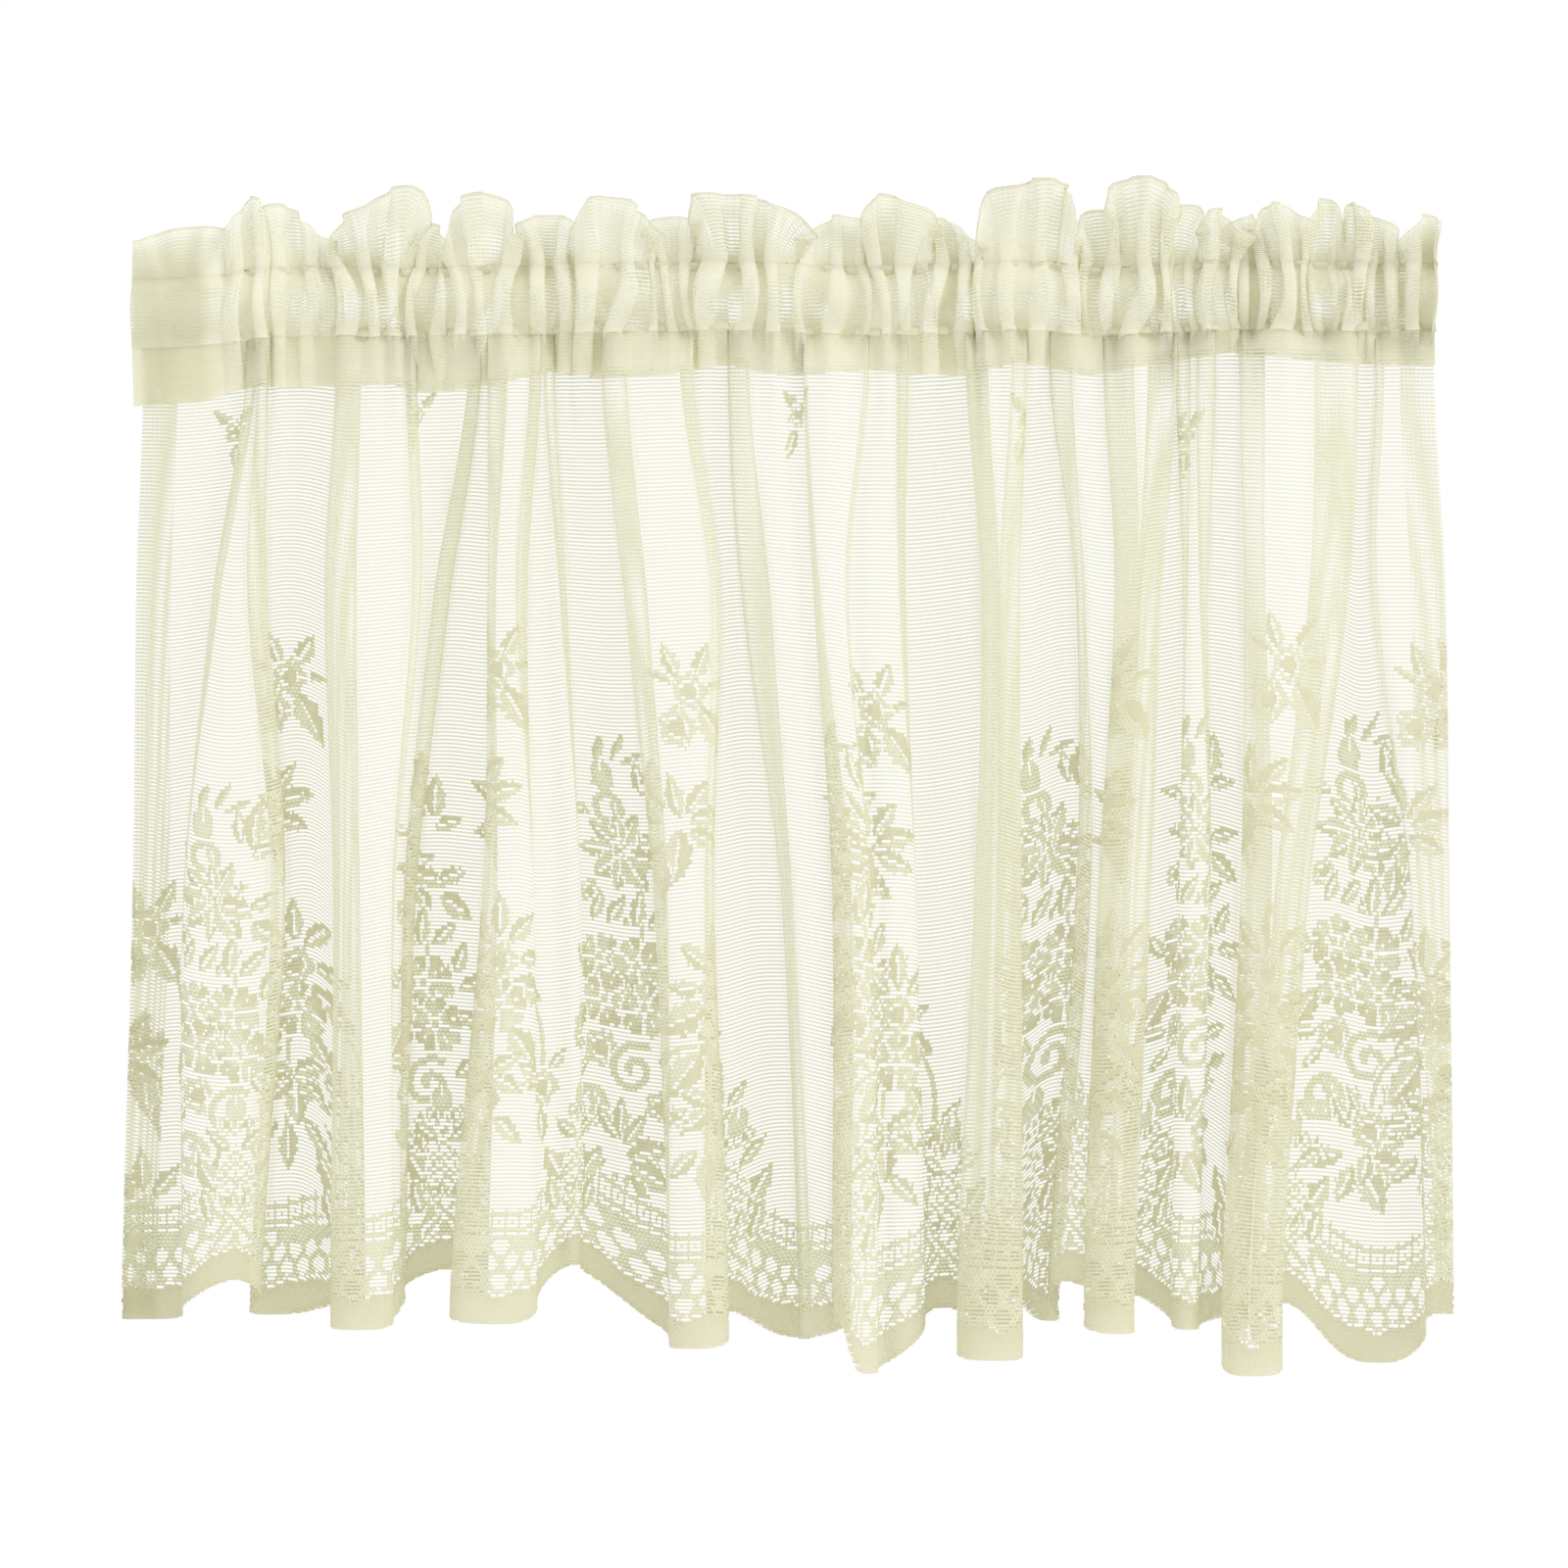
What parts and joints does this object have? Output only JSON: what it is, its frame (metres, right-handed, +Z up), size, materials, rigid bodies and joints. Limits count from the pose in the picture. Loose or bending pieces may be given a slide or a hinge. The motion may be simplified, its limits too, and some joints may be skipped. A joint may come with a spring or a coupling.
{
  "type": "gathered lace valance with a rod pocket",
  "caption": "Sheer lace valance gathered on an open rod pocket, with a standing frill above it, deep uneven folds and a scalloped border.",
  "frame": {"origin": "on the rod pocket's axis, halfway along the pocket", "axes": "+X along the pocket, to the right as seen from the front, +Y towards the window, +Z up"},
  "size_m": [0.6992, 0.047, 0.6243],
  "materials": {
    "sheer_lace": "matte ivory lace, a single sheer layer",
    "doubled_lace": "matte ivory lace in two gathered layers"
  },
  "bodies": {
    "root": {"lace_panel": "sheer_lace", "rod_pocket": "doubled_lace", "header_frill": "doubled_lace"}
  },
  "joints": []
}
